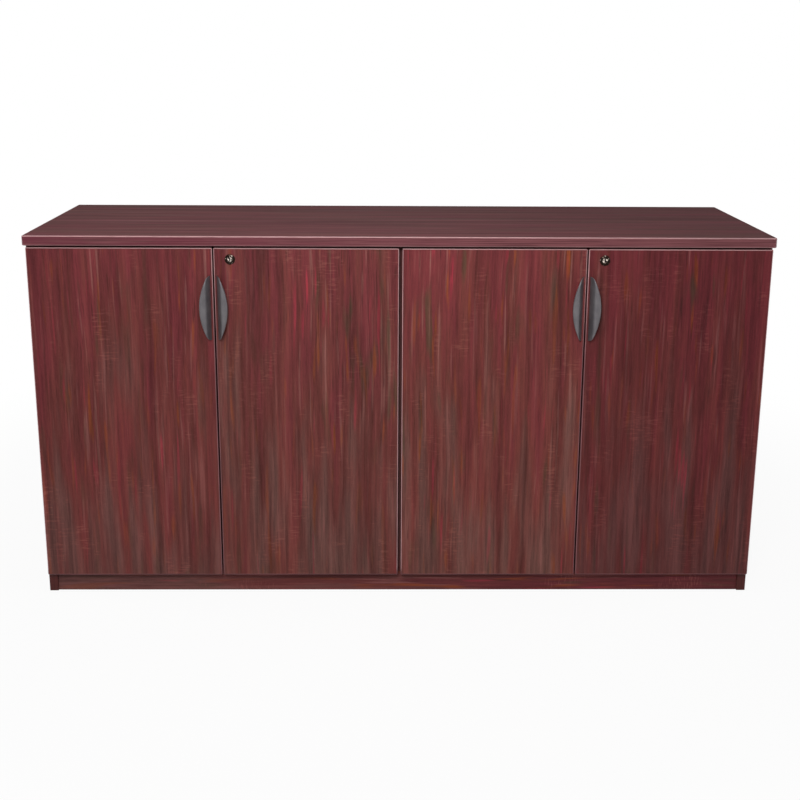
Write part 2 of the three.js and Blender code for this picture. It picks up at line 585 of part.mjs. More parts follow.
// Two boxes, alike but for their partition, which is the right panel of the left box and the reverse
for (const bay of ["left", "right"]) {
  const middle = ((bay === "left" ? -1 : 1) * (BOX_WIDTH + SEAT_GAP)) / 2;
  const box = addGroup(credenza, [middle, 0, 0]);
  const half = BAY_WIDTH / 2 - SEAT_GAP;

  for (const side of ["left", "right"]) {
    const right = side === "right";
    const edge = addGroup(box, [((right ? 1 : -1) * BOX_WIDTH) / 2, 0, 0], right);
    const isEnd = side === bay;
    const panelName = isEnd ? `${bay}_end_panel` : `${bay}_partition`;
    addMesh(edge, panelName, uprightPanel(!isEnd), MAHOGANY);
    PIN_COLUMNS.forEach((y, column) => {
      const place = column === 0 ? "front" : "rear";
      const pinName = `${bay}_bay_${side}_${place}_shelf_pin`;
      addMesh(edge, pinName, shelfPin(), ZINC, [SIDE_THICK, y, SHELF_PIN_HEIGHT]);
    });
  }

  const bottomFloor = KICK_HEIGHT + SEAT_GAP;
  const backFront = BACK_FACE - SEAT_GAP;
  addMesh(
    box,
    `${bay}_bottom_panel`,
    block([-half, BOX_FRONT, bottomFloor], [half, backFront, BOTTOM_TOP]),
    MAHOGANY,
  );
  addMesh(
    box,
    `${bay}_back_panel`,
    block([-half, BACK_FACE, BACK_FLOOR_GAP], [half, TOP_BACK, BOX_TOP]),
    MAHOGANY,
  );
  const railFront = BOX_FRONT + RAIL_SETBACK;
  addMesh(
    box,
    `${bay}_front_rail`,
    block([-half, railFront, RAIL_BOTTOM], [half, railFront + RAIL_DEPTH, BOX_TOP]),
    MAHOGANY,
  );
  addMesh(
    box,
    `${bay}_rear_rail`,
    block([-half, backFront - RAIL_DEPTH, RAIL_BOTTOM], [half, backFront, BOX_TOP]),
    MAHOGANY,
  );
  const shelfLength = BAY_WIDTH - 2 * SHELF_SIDE_CLEARANCE;
  const shelfBottom = SHELF_PIN_HEIGHT + PIN_COLLAR_RADIUS + SEAT_GAP;
  const shelfFront = BOX_FRONT + SHELF_SETBACK;
  const shelf = easedFront(BOARD_THICK, shelfFront, BACK_FACE - SHELF_BACK_CLEARANCE, shelfLength);
  shelf.rotateY(Math.PI / 2); // length along X, thickness down from z = 0
  const shelfPlace = [-shelfLength / 2, 0, shelfBottom + BOARD_THICK];
  addMesh(box, `${bay}_shelf`, shelf, MAHOGANY, shelfPlace);

  // Doors hang on the outer edges of their box; the right one carries the lock
  for (const side of ["left", "right"]) {
    const right = side === "right";
    const hingeEdge = (right ? 1 : -1) * (BOX_WIDTH / 2 - DOOR_REVEAL);
    const leaf = addGroup(box, [hingeEdge, DOOR_BACK, DOOR_BOTTOM], right);
    const doorName = `${bay}_bay_${side}_door`;
    addMesh(leaf, doorName, doorBoard(right), MAHOGANY);

    const pullEdge = DOOR_WIDTH - PULL_EDGE_INSET;
    const pullFoot = -DOOR_THICK - SEAT_GAP;
    const pullGroup = addGroup(leaf, [pullEdge, pullFoot, DOOR_HEIGHT - PULL_DROP], true);
    addMesh(pullGroup, `${doorName}_pull`, crescentPull(), PULL_GREY);

    hingeHeights().forEach((z, index) => {
      const level = index === 0 ? "lower" : "upper";
      addMesh(leaf, `${doorName}_${level}_hinge_cup`, hingeCup(), NICKEL, [0, 0, z]);
      addMesh(leaf, `${doorName}_${level}_hinge_arm`, hingeArm(), NICKEL, [0, 0, z]);
    });

    if (right) {
      const [lockX, lockZ] = lockCentre();
      const lock = addGroup(leaf, [lockX, 0, lockZ]);
      addMesh(lock, `${bay}_bay_lock_housing`, lockHousing(), DARK_NICKEL);
      addMesh(lock, `${bay}_bay_lock_plug`, lockPlug(), NICKEL);
      addMesh(lock, `${bay}_bay_lock_nut`, lockNut(), ZINC);
      addMesh(lock, `${bay}_bay_lock_cam`, lockCam(), ZINC);
      const strikePlace = [lockX, 0, TOP_UNDERSIDE - DOOR_BOTTOM];
      addMesh(leaf, `${bay}_bay_lock_strike`, lockStrike(), DARK_NICKEL, strikePlace);
    }
  }
}

export default credenza;
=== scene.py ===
import math

import bmesh
import bpy
import numpy as np
from mathutils import Matrix, Vector


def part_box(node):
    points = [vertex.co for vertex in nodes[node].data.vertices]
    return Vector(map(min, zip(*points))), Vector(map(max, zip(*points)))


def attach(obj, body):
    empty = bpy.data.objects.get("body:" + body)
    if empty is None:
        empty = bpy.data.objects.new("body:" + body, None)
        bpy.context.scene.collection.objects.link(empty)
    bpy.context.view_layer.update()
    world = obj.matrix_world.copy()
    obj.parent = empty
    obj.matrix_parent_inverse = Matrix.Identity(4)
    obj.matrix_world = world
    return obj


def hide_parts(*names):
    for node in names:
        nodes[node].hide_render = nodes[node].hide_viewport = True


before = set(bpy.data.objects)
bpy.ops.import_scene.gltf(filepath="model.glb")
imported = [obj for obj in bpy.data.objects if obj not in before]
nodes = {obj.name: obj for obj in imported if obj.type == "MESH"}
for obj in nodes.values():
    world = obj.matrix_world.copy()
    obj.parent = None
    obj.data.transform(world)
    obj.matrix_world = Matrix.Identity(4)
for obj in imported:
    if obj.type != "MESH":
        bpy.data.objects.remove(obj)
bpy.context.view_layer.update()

mm = 0.001
scene = bpy.context.scene
print("frame loaded:", len(nodes), "nodes")


def boxOf(node):  # lowest and highest corner of a CAD node, in millimetres
    low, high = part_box(node)
    return np.array(low) / mm, np.array(high) / mm


# colours are written as screen values from 0 to 255 and turned into linear ones
def tint(red, green, blue):
    value = np.array([red, green, blue]) / 255
    linear = np.where(value <= 0.04045, value / 12.92, ((value + 0.055) / 1.055) ** 2.4)
    return (*linear.tolist(), 1.0)


# points on a circle, from one angle to another in degrees
def arc(centre, radius, start, end, steps):
    angle = np.radians(np.linspace(start, end, steps))
    return np.array(centre) + radius * np.stack([np.cos(angle), np.sin(angle)], 1)


# Bezier curve: each control point weighted by its Bernstein term
def bezier(controls, steps):
    t = np.linspace(0, 1, steps)[:, None]
    last = len(controls) - 1
    terms = [math.comb(last, k) * t**k * (1 - t) ** (last - k) for k in range(last + 1)]
    return sum(term * np.array(point, float) for term, point in zip(terms, controls))


# grid of points (rows, columns, 3) as a shell: a quad between each four neighbours.
# The last column repeats the first, and the end rows get flat caps if asked.
# Its uv is the distance run along the rows and along the columns.
def shellOf(grid, capped=True):
    rows, columns = grid.shape[:2]
    index = np.arange(rows * columns).reshape(rows, columns)
    quads = np.stack([index[:-1, :-1], index[:-1, 1:], index[1:, 1:], index[1:, :-1]], -1)
    caps = [index[0, -2::-1].tolist(), index[-1, :-1].tolist()] if capped else []
    rowStep = np.linalg.norm(np.diff(grid, axis=0), axis=2).mean(1)
    columnStep = np.linalg.norm(np.diff(grid, axis=1), axis=2).mean(0)
    along = np.concatenate([[0], np.cumsum(rowStep)])
    around = np.concatenate([[0], np.cumsum(columnStep)])
    uv = np.stack(np.meshgrid(along, around, indexing="ij"), -1)
    return grid.reshape(-1, 3), quads.reshape(-1, 4), caps, uv.reshape(-1, 2)


# section (n, 2) carried along a path: point = path + section's first value outwards + second value across
def carried(section, path, outward, across):
    first = section[None, :, :1] * outward[:, None]
    second = section[None, :, 1:] * across[:, None]
    return path[:, None] + first + second


# (along, radius) pairs turned round the X, Y or Z axis: centre + along the axis + radius times
# a circle, or times any other outline that stretch gives round the circle
def turned(profile, centre, axis, steps=40, stretch=1.0):
    profile = np.array(profile, float)
    angle = np.linspace(0, 2 * math.pi, steps + 1)
    direction, side, over = np.roll(np.eye(3), -axis, 0)
    ring = np.cos(angle)[:, None] * side + np.sin(angle)[:, None] * over
    reach = profile[:, 1:] * np.broadcast_to(stretch, (len(profile), steps + 1))
    grid = np.array(centre) + profile[:, :1, None] * direction + reach[:, :, None] * ring
    return shellOf(grid, capped=False)


# flat plate: an anticlockwise outline (n, 2) carried up through its thickness,
# where the last row is drawn in along the outline's normals for an eased edge
def plate(outline, thick, ease):
    outline = np.array(outline, float)
    run = np.roll(outline, -1, 0) - np.roll(outline, 1, 0)
    inward = np.stack([-run[:, 1], run[:, 0]], 1) / np.linalg.norm(run, axis=1)[:, None]
    rows = [(ease, 0), (0, ease), (0, thick - ease), (ease, thick)]
    layers = [np.column_stack([outline + inward * draw, np.full(len(outline), up)]) for draw, up in rows]
    grid = np.array(layers)
    return np.concatenate([grid, grid[:, :1]], 1)


# rectangle with round corners: closed outline and its outward directions
def roundedOutline(width, height, radius, steps=7):
    angle = np.radians(np.concatenate([np.linspace(turn, turn + 90, steps) for turn in (0, 90, 180, 270)]))
    outward = np.stack([np.cos(angle), np.sin(angle)], 1)
    corner = np.repeat([[1, 1], [-1, 1], [-1, -1], [1, -1]], steps, 0)
    outline = corner * [width / 2 - radius, height / 2 - radius] + radius * outward
    return np.concatenate([outline, outline[:1]]), np.concatenate([outward, outward[:1]])


def makePiece(name, shells, material, body, replaced=(), sharpAngle=38):
    starts = np.cumsum([0] + [len(shell[0]) for shell in shells])
    points = np.concatenate([shell[0] for shell in shells]) * mm
    faces = []
    for start, (_, quads, caps, _) in zip(starts, shells):
        faces += (quads + start).tolist() + [(np.array(cap) + start).tolist() for cap in caps]
    mesh = bpy.data.meshes.new(name)
    mesh.from_pydata(points.tolist(), [], faces)
    corners = np.zeros(len(mesh.loops), int)
    mesh.loops.foreach_get("vertex_index", corners)
    uv = np.concatenate([shell[3] for shell in shells])[corners]
    mesh.uv_layers.new(name="run").data.foreach_set("uv", uv.ravel())
    work = bmesh.new()
    work.from_mesh(mesh)
    bmesh.ops.remove_doubles(work, verts=work.verts, dist=1e-6)  # closes seams and poles
    bmesh.ops.recalc_face_normals(work, faces=work.faces)
    work.to_mesh(mesh)
    work.free()
    mesh.polygons.foreach_set("use_smooth", np.ones(len(mesh.polygons), bool))
    mesh.set_sharp_from_angle(angle=math.radians(sharpAngle))
    mesh.materials.append(material)
    piece = bpy.data.objects.new(name, mesh)
    scene.collection.objects.link(piece)
    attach(piece, body)
    if replaced:
        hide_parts(*replaced)
    return piece


class Wire:  # one socket of a node tree; sums on it add Math nodes
    def __init__(self, tree, socket=None):
        self.tree, self.socket = tree, socket

    def node(self, kind, settings=None, sockets=None, out=0):
        made = self.tree.nodes.new("ShaderNode" + kind)
        for key, value in (settings or {}).items():
            if key == "stops":
                ends = made.color_ramp.elements
                ends[0].position, ends[1].position = value[0][0], value[-1][0]
                ends[0].color, ends[1].color = value[0][1], value[-1][1]
                for place, colour in value[1:-1]:
                    ends.new(place).color = colour
            else:
                setattr(made, key, value)
        for key, value in (sockets or {}).items():
            if isinstance(value, Wire):
                self.tree.links.new(value.socket, made.inputs[key])
            else:
                made.inputs[key].default_value = value
        return Wire(self.tree, made.outputs[out])

    def sum(self, operation, first, second):
        return self.node("Math", {"operation": operation}, {0: first, 1: second})

    def __add__(self, other):
        return self.sum("ADD", self, other)

    __radd__ = __add__

    def __sub__(self, other):
        return self.sum("SUBTRACT", self, other)

    def __rsub__(self, other):
        return self.sum("SUBTRACT", other, self)

    def __mul__(self, other):
        return self.sum("MULTIPLY", self, other)

    __rmul__ = __mul__

    def between(self, low, high):  # 0 below low, 1 above high, smooth between
        return self.node("MapRange", {"interpolation_type": "SMOOTHSTEP"}, {0: self, 1: low, 2: high})

    def mix(self, first, second):  # two colours, by this value
        return self.node("Mix", {"data_type": "RGBA"}, {0: self, 6: first, 7: second}, 2)

    def place(self):  # where the point lies on its object, in metres
        return self.node("TexCoord", out="Object")

    def part(self, axis):  # X, Y or Z of a vector
        return self.node("SeparateXYZ", {}, {0: self}, axis)

    def vector(self, operation, first, second):
        return self.node("VectorMath", {"operation": operation}, {0: first, 1: second})

    def noise(self, place, scale=1, detail=2, roughness=0.5, out=0):
        sockets = {"Vector": place, "Scale": scale, "Detail": detail, "Roughness": roughness}
        return self.node("TexNoise", {}, sockets, out)

    def bump(self, height, strength, distance):
        return self.node("Bump", {}, {"Height": height, "Strength": strength, "Distance": distance}, "Normal")


# new material with its Principled shader; the maker gets a wire to start from and gives back its sockets
def finish(name, maker, **fixed):
    material = bpy.data.materials.new(name)
    material.use_nodes = True
    tree = material.node_tree
    shader = tree.nodes["Principled BSDF"]
    for socket, value in fixed.items():
        shader.inputs[socket.replace("_", " ")].default_value = value
    for socket, value in maker(Wire(tree)).items():
        tree.links.new(value.socket, shader.inputs[socket])
    return material


# Mahogany laminate. The hue drifts in soft bands; streaks of other colours lie where a noise stretched along
# the grain is high, and the depth of colour is a sum of such noises from broad bands to hair lines.
# Pairs are cycles per metre across the grain and along it. A streak has its colour, such a pair, the noise
# values at which it starts and is full, and its share. A layer of depth has a pair and a weight.
mahoganyLook = {
    "brown": tint(101, 64, 60),
    "middle": tint(103, 50, 47),
    "wine": tint(107, 45, 49),
    "streaks": [
        (tint(126, 78, 74), 125, 4.4, 0.58, 0.72, 0.55),  # pale
        (tint(72, 56, 42), 44, 5.5, 0.61, 0.76, 0.5),  # olive
        (tint(130, 64, 36), 62, 6, 0.6, 0.74, 0.6),  # orange
        (tint(150, 47, 61), 72, 4, 0.65, 0.745, 0.5),  # red
        (tint(70, 33, 32), 240, 12, 0.6, 0.76, 0.45),  # dark lines
        (tint(62, 30, 29), 800, 30, 0.57, 0.72, 0.2),  # pores
    ],
    "ripple": tint(138, 80, 74),
    "ripples": 0.4,
    "depth": [
        (14, 0.6, 0.28), (40, 1.5, 0.9), (100, 3.8, 0.95), (210, 11, 0.55), (520, 34, 0.36), (1500, 120, 0.4),
    ],
    "hueBands": (26, 2.4),
    "zones": (9, 1.6),
    "calm": 0.45,  # share of the streaks in a calm zone, and what a lively zone adds
    "busy": 0.85,
    "ripplePatches": (16, 7),
    "rippleFlecks": (45, 260),
    "sway": 0.012,  # metres that the grain leaves the straight, and its cycles per metre
    "swayCycles": 2.6,
    "paintedLightFrom": 0.45,  # metres: above this height redder by drift and livelier, below it browner and calmer; the browner, greyer lower part is a painted reflection of the pale floor
    "drift": 0.38,
    "lively": 0.7,
    "roughness": 0.55,
    "sheen": 0.12,
}
lyingLook = dict(mahoganyLook, drift=0.0, lively=0.0)  # boards whose grain lies level
kickLook = dict(
    lyingLook,
    middle=tint(99, 50, 48),
    wine=tint(92, 40, 43),
    sheen=0.14,
    drift=0.35,
    paintedLightFrom=0.0,  # along the kick, from its middle: darker towards the right end, a painted shade for light falling off there
)
topLook = dict(
    lyingLook,
    brown=tint(84, 53, 51),
    middle=tint(90, 50, 52),
    wine=tint(96, 49, 55),
    streaks=[
        (tint(112, 80, 80), 60, 1.4, 0.54, 0.72, 0.5),
        (tint(66, 42, 38), 90, 2.2, 0.56, 0.72, 0.5),
        (tint(62, 34, 33), 300, 9, 0.56, 0.72, 0.4),
    ],
    ripple=tint(104, 66, 64),
    ripples=0.1,
    depth=[(9, 0.4, 0.5), (30, 0.9, 0.8), (90, 2.4, 0.6), (240, 7, 0.5), (620, 20, 0.4), (1500, 45, 0.4)],
    roughness=0.78,
    sheen=0.06,
)


# seed gives each board its own piece of the grain; shift only keeps the noises apart
def mahogany(name, grainAxis, seed, look=mahoganyLook, tone=(1.0, 1.0, 1.0)):
    def maker(wire):
        place = wire.place()

        def grain(across, along, detail, shift):
            scale = [across] * 3
            scale[grainAxis] = along
            start = (seed * 3.17 + shift, seed * 1.73 - shift, seed * 2.31 + 0.5 * shift)
            moved = wire.node("Mapping", {}, {"Vector": swayed, "Location": start, "Scale": scale})
            return wire.noise(moved, 1, detail, 0.55)

        # the grain sways a few millimetres from straight
        cycles = (look["swayCycles"],) * 3
        start = wire.node("Mapping", {}, {"Vector": place, "Location": (seed,) * 3, "Scale": cycles})
        sway = wire.noise(start, 1, 1, out="Color")
        reach = [look["sway"]] * 3
        reach[grainAxis] = 0.0
        drift = wire.vector("MULTIPLY", wire.vector("SUBTRACT", sway, (0.5, 0.5, 0.5)), reach)
        swayed = wire.vector("ADD", place, drift)

        # the hue drifts in soft bands, and slowly along the board; that slow drift is painted light, set in
        # each look
        height = place.part(grainAxis) - look["paintedLightFrom"]
        hue = grain(*look["hueBands"], 2, 7.1) + look["drift"] * height
        stops = [(0.3, look["brown"]), (0.5, look["middle"]), (0.7, look["wine"])]
        colour = hue.node("ValToRGB", {"stops": stops}, {0: hue})
        # streaks, fewer in calm zones than in lively ones
        busy = look["calm"] + look["busy"] * grain(*look["zones"], 2, 53.9).between(0.36, 0.64)
        busy = busy * (1 + look["lively"] * height)
        for turn, (streak, across, along, start, full, share) in enumerate(look["streaks"]):
            mask = grain(across, along, 1, 5.3 * turn + 1.9).between(start, full)
            colour = (mask * share * busy).mix(colour, streak)
        # ripples: short flecks across the grain, only inside patches
        patch = grain(*look["ripplePatches"], 2, 43.7).between(0.54, 0.68)
        fleck = grain(*look["rippleFlecks"], 1, 49.1).between(0.5, 0.7)
        colour = (patch * fleck * look["ripples"]).mix(colour, look["ripple"])
        layers = []
        for across, along, weight in look["depth"]:
            layers.append(weight * (grain(across, along, 1, 61.3 + across) - 0.5))
        depth = 1 + sum(layers[1:], layers[0])
        colour = wire.node("VectorMath", {"operation": "SCALE"}, {0: colour, "Scale": depth})
        colour = wire.vector("MULTIPLY", colour, tone)
        roughness = look["roughness"] + 0.12 * layers[3]
        relief = layers[3] + layers[4] + layers[5]
        normal = wire.bump(relief, 0.25, 0.00012)
        return {"Base Color": colour, "Roughness": roughness, "Normal": normal}

    return finish(name, maker, Specular_IOR_Level=look["sheen"])


# Edge band: streaks run along the band, and the rounded corners are painted paler: a painted highlight where
# the lamps would catch them.
# uv holds millimetres along the band and round its section, and noises have cycles per millimetre of both.
bandLook = {
    "base": tint(92, 49, 53),
    "streak": tint(121, 71, 75),
    "shadedBase": tint(66, 24, 22),  # on the uprights, between the doors: darker, a painted shade for the dark gaps there
    "shadedStreak": tint(80, 32, 29),
    "streaks": (0.006, 0.4),
    # painted highlight colour for the rounded corners
    "edgeHighlight": tint(222, 178, 178),
    "highlightPatches": (0.03, 0.4),
    "leastHighlight": 0.7,  # share of the painted highlight that is left between its patches
    "fade": (0.3, 0.5),  # millimetres outside and inside a corner over which its painted highlight fades
    "highlightFrom": (0.056, 0.075),  # metres above the floor: edges below get no painted highlight and stay dark
    "highlightFront": (-0.305, -0.275),  # metres: the top's band gets its painted highlight in front of these
    "freeEdges": ((0.3, 0.35), (0.55, 0.6)),  # metres from the middle: the edges by the pulls lie between
    "highlightRise": (0.6, 0.85),  # metres: over these heights those edges go from least to full painted highlight, brighter towards the top
    "leastHighlightLow": 0.2,
    "wine": tint(98, 34, 50),
    "winePatches": (0.006, 0.1),
    "wineFrom": (-0.9, 0.5),  # metres: the wine patches fade out from the first to the second
    "roughness": 0.34,
}


def doorHighlight(aside, front, height):  # the doors' edges by the pulls get less painted highlight lower down and the full one near the top
    inner, outer = bandLook["freeEdges"]
    aside = aside.node("Math", {"operation": "ABSOLUTE"}, {0: aside})
    free = aside.between(*inner) * (1 - aside.between(*outer))
    return 1 - (1 - bandLook["leastHighlightLow"]) * free * (1 - height.between(*bandLook["highlightRise"]))


def topHighlight(aside, front, height):  # the top's painted highlight lies along its front edge only
    return 1 - front.between(*bandLook["highlightFront"])


# turns are the places of the two corners round the section, and the shares after them say how strong the
# painted highlight on each corner is
def edgeBandFinish(name, turns, edgeHighlight, tones=("base", "streak"), highlightMask=None, wine=0.0, sheen=0.2):
    def maker(wire):
        uv = wire.node("UVMap", {"uv_map": "run"})

        def noise(cycles, low, high):
            moved = wire.node("Mapping", {}, {"Vector": uv, "Scale": (*cycles, 1)})
            return wire.noise(moved).between(low, high)

        streaks = noise(bandLook["streaks"], 0.36, 0.64)
        colour = streaks.mix(*(bandLook[tone] for tone in tones))
        around = uv.part("Y")
        outside, inside = bandLook["fade"]
        corners = []
        for (low, high), share in zip(turns, edgeHighlight):
            start = around.between(low - outside, low + inside)
            corners.append(share * start * (1 - around.between(high - inside, high + outside)))
        place = wire.place()
        aside, front, height = (place.part(axis) for axis in "XYZ")
        # painted highlight on the two rounded corners, none close to the floor
        near = (corners[0] + corners[1]) * height.between(*bandLook["highlightFrom"])
        if highlightMask:
            near = near * highlightMask(aside, front, height)
        if wine:
            left = 1 - aside.between(*bandLook["wineFrom"])
            colour = (wine * noise(bandLook["winePatches"], 0.3, 0.6) * left).mix(colour, bandLook["wine"])
        # the painted highlight is patchy along the band
        least = bandLook["leastHighlight"]
        patchyHighlight = least + (1 - least) * noise(bandLook["highlightPatches"], 0.2, 0.62)
        colour = (near * patchyHighlight).mix(colour, bandLook["edgeHighlight"])
        roughness = bandLook["roughness"] + 0.12 * streaks
        normal = wire.bump(streaks, 0.2, 0.00008)
        return {"Base Color": colour, "Roughness": roughness, "Normal": normal}

    return finish(name, maker, Specular_IOR_Level=sheen)


# Plated and cast metals: cloudy tone, fine directional scratches, and a little unevenness. blotch is the
# cloud's cycles per metre, and where it turns from dark to light.
# Between the two given depths, in metres along Y, the metal is painted dark and dull: a painted shade in a
# recess.
recessShadeLook = {"dark": tint(14, 9, 8), "dull": 0.4, "fade": 0.0003}


def metal(name, light, dark, roughness, blotch=(160, 0.3, 0.7), scratches=(900, 60, 60), shadedDepths=None):
    def maker(wire):
        place = wire.place()
        cloud = wire.noise(place, blotch[0], 3)
        colour = cloud.between(*blotch[1:]).mix(dark, light)
        stretched = wire.node("Mapping", {}, {"Vector": place, "Scale": scratches})
        lines = wire.noise(stretched, 4)
        gloss = roughness + 0.14 * (cloud - 0.5) + 0.1 * (lines - 0.5)
        if shadedDepths:
            # painted shade: dark and dull inside the recess
            depth = place.part("Y")
            started, ended = (depth.between(edge, edge + recessShadeLook["fade"]) for edge in shadedDepths)
            inside = started * (1 - ended)
            colour = inside.mix(colour, recessShadeLook["dark"])
            gloss = gloss + recessShadeLook["dull"] * inside
        normal = wire.bump(lines, 0.12, 0.00005)
        return {"Base Color": colour, "Roughness": gloss, "Normal": normal}

    return finish(name, maker, Metallic=1.0)


# Pull: satin gunmetal paint on moulded plastic, cloudy and with a fine speckle
paintLook = {"light": tint(108, 104, 107), "dark": tint(90, 87, 90), "roughness": 0.36}


def pullPaint(wire):
    place = wire.place()
    speckle = wire.noise(place, 2600)
    cloud = wire.noise(place, 45)
    tone = 0.5 * speckle + 0.5 * cloud
    colour = tone.between(0.36, 0.64).mix(paintLook["dark"], paintLook["light"])
    roughness = paintLook["roughness"] + 0.16 * (speckle - 0.5)
    normal = wire.bump(speckle, 0.15, 0.00005)
    return {"Base Color": colour, "Roughness": roughness, "Normal": normal}


# Glue: dark, with a slow cloudiness
def driedGlue(wire):
    place = wire.place()
    cloud = wire.noise(place, 60)
    colour = cloud.between(0.3, 0.7).mix(tint(40, 20, 20), tint(56, 30, 28))
    return {"Base Color": colour, "Roughness": 0.5 + 0.2 * cloud}


# Bumper: milky soft plastic
def bumperPlastic(wire):
    place = wire.place()
    cloud = wire.noise(place, 700)
    colour = cloud.between(0.3, 0.7).mix(tint(196, 192, 186), tint(214, 211, 206))
    return {"Base Color": colour, "Roughness": 0.2 + 0.15 * cloud}


nickel = metal("nickel_plate", tint(206, 203, 196), tint(176, 172, 166), 0.27)
# the bezel's scattered pale blotches on dark metal are painted glints
darkNickel = metal("dark_nickel", tint(196, 178, 166), tint(38, 28, 23), 0.12, (190, 0.56, 0.7))
# near-black steel for the lock strikes: painted shade, so the gap above each lock reads dark
strikeShadeSteel = metal("strike_shade_steel", tint(58, 48, 44), tint(42, 34, 32), 0.45)
zinc = metal("zinc_plate", tint(184, 187, 190), tint(150, 153, 157), 0.38)
pullGrey = finish("pull_paint", pullPaint, Metallic=0.5)
softPlastic = finish("bumper_plastic", bumperPlastic)
glue = finish("dried_glue", driedGlue)
print("finishes made")

# CAD boards keep their shape and get their grain, each with the axis along which it runs
alongX, alongZ = 0, 2
sides = ("left", "right")
boardGrain = {
    "end_panel": alongZ,
    "partition": alongZ,
    "back_panel": alongZ,
    "bottom_panel": alongX,
    "front_rail": alongX,
    "rear_rail": alongX,
    "shelf": alongX,
}
boards = {f"{bay}_{board}": axis for bay in sides for board, axis in boardGrain.items()}
boards["kick_panel"] = alongX
doorNames = [f"{bay}_bay_{side}_door" for bay in sides for side in sides]
for seed, (board, axis) in enumerate(boards.items()):
    look, tone = (mahoganyLook if axis == alongZ else lyingLook), (1.0, 1.0, 1.0)
    if board == "kick_panel":
        look, tone = kickLook, (1.0, 0.97, 1.0)
    nodes[board].material_slots[0].material = mahogany(f"mahogany_{board}", axis, 20 + seed, look, tone)
# each door was cut from its own sheet
doorTones = [(0.96, 0.94, 0.94), (1.0, 1.07, 1.03), (1.06, 1.1, 1.04), (0.79, 0.68, 0.73)]
for seed, (door, tone) in enumerate(zip(doorNames, doorTones)):
    nodes[door].material_slots[0].material = mahogany(f"mahogany_{door}", alongZ, 1 + 2.3 * seed, tone=tone)
for bay in sides:
    nodes[f"{bay}_bay_lock_cam"].material_slots[0].material = zinc
    # the strike is near-black: painted shade in the gap above the lock
    nodes[f"{bay}_bay_lock_strike"].material_slots[0].material = strikeShadeSteel
print("boards finished")

# Edge bands. The section turns round both eased edges of a board and tucks inside it.
doorBand = {"radius": 2.0, "corner": 2.5, "wrap": 2.4, "proud": 0.06, "sink": 0.3, "steps": 9}
topBand = {"radius": 2.5, "corner": 6.0, "wrap": 3.0, "proud": 0.06, "sink": 0.3, "steps": 10}
frontBand = {
    "radius": 1.5, "wrap": 2.2, "proud": 0.05, "sink": 0.3, "steps": 7,
    "upright": 22.0, "shelf": 18.0, "endGap": 0.1, "aboveKick": 0.5,
}


def bandSection(thick, look):
    half, radius = thick / 2, look["radius"]
    reach = radius + look["proud"]
    turnFront = arc((-radius, radius - half), reach, -90, 0, look["steps"])
    turnBack = arc((-radius, half - radius), reach, 0, 90, look["steps"])
    lip = half + look["proud"]
    hidden = -0.6 * radius
    inside = [(-look["wrap"], half - look["sink"]), (hidden, half - radius)]
    inside += [(hidden, radius - half), (-look["wrap"], look["sink"] - half)]
    ends = [(-look["wrap"], -lip)], [(-look["wrap"], lip)]
    return np.concatenate([ends[0], turnFront, turnBack, ends[1], inside, ends[0]])


# distances round the section at which the two eased corners start and end
def bandTurns(thick, look):
    lip = look["wrap"] - look["radius"]
    quarter = math.pi / 2 * (look["radius"] + look["proud"])
    second = lip + quarter + thick - 2 * look["radius"]
    return [(lip, lip + quarter), (second, second + quarter)]


# band all round a board; first and second are the axes of its face, through is the axis of its thickness
def bandRound(low, high, first, second, through, look):
    size, middle = high - low, (low + high) / 2
    outline, outward = roundedOutline(size[first], size[second], look["corner"])
    path = np.tile(middle, (len(outline), 1))
    path[:, [first, second]] += outline
    out = np.zeros((len(outline), 3))
    out[:, [first, second]] = outward
    across = np.tile(np.eye(3)[through], (len(outline), 1))
    return shellOf(carried(bandSection(size[through], look), path, out, across), capped=False)


doorThick = boxOf(doorNames[0])[1][1] - boxOf(doorNames[0])[0][1]
doorBandFinish = edgeBandFinish(
    "door_edge_band", bandTurns(doorThick, doorBand), (0.56, 0.2), sheen=0.3, highlightMask=doorHighlight
)
for door in doorNames:
    ring = bandRound(*boxOf(door), 0, 2, 1, doorBand)
    makePiece(f"{door}_edge_band", [ring], doorBandFinish, f"{door}_leaf")

# top: a slab with round corners, drawn in by as much as its band stands proud
low, high = boxOf("top_panel")
low, high = low + topBand["proud"], high - topBand["proud"]
outline, _ = roundedOutline(*(high - low)[:2], topBand["corner"])
slab = plate(outline[:-1], high[2] - low[2], topBand["radius"]) + [*(low + high)[:2] / 2, low[2]]
topFinish = mahogany("mahogany_top", alongX, 9, topLook)
makePiece("top_board", [shellOf(slab)], topFinish, "carcass", ["top_panel"])
topBandFinish = edgeBandFinish(
    "top_edge_band", bandTurns(high[2] - low[2], topBand), (0.3, 0.74), highlightMask=topHighlight, wine=0.7
)
ring = bandRound(low, high, 0, 1, 2, topBand)
makePiece("top_edge_band", [ring], topBandFinish, "carcass")


# band on the front edge of an upright or a shelf: the same section on one straight run
def bandFront(board, run, across):
    low, high = boxOf(board)
    path = np.tile((low + high) / 2, (2, 1))
    path[:, 1] = low[1]
    path[:, run] = low[run] + frontBand["endGap"], high[run] - frontBand["endGap"]
    outward, side = np.tile([0.0, -1.0, 0.0], (2, 1)), np.tile(np.eye(3)[across], (2, 1))
    return shellOf(carried(bandSection(high[across] - low[across], frontBand), path, outward, side))


uprightTurns = bandTurns(frontBand["upright"], frontBand)
shelfTurns = bandTurns(frontBand["shelf"], frontBand)
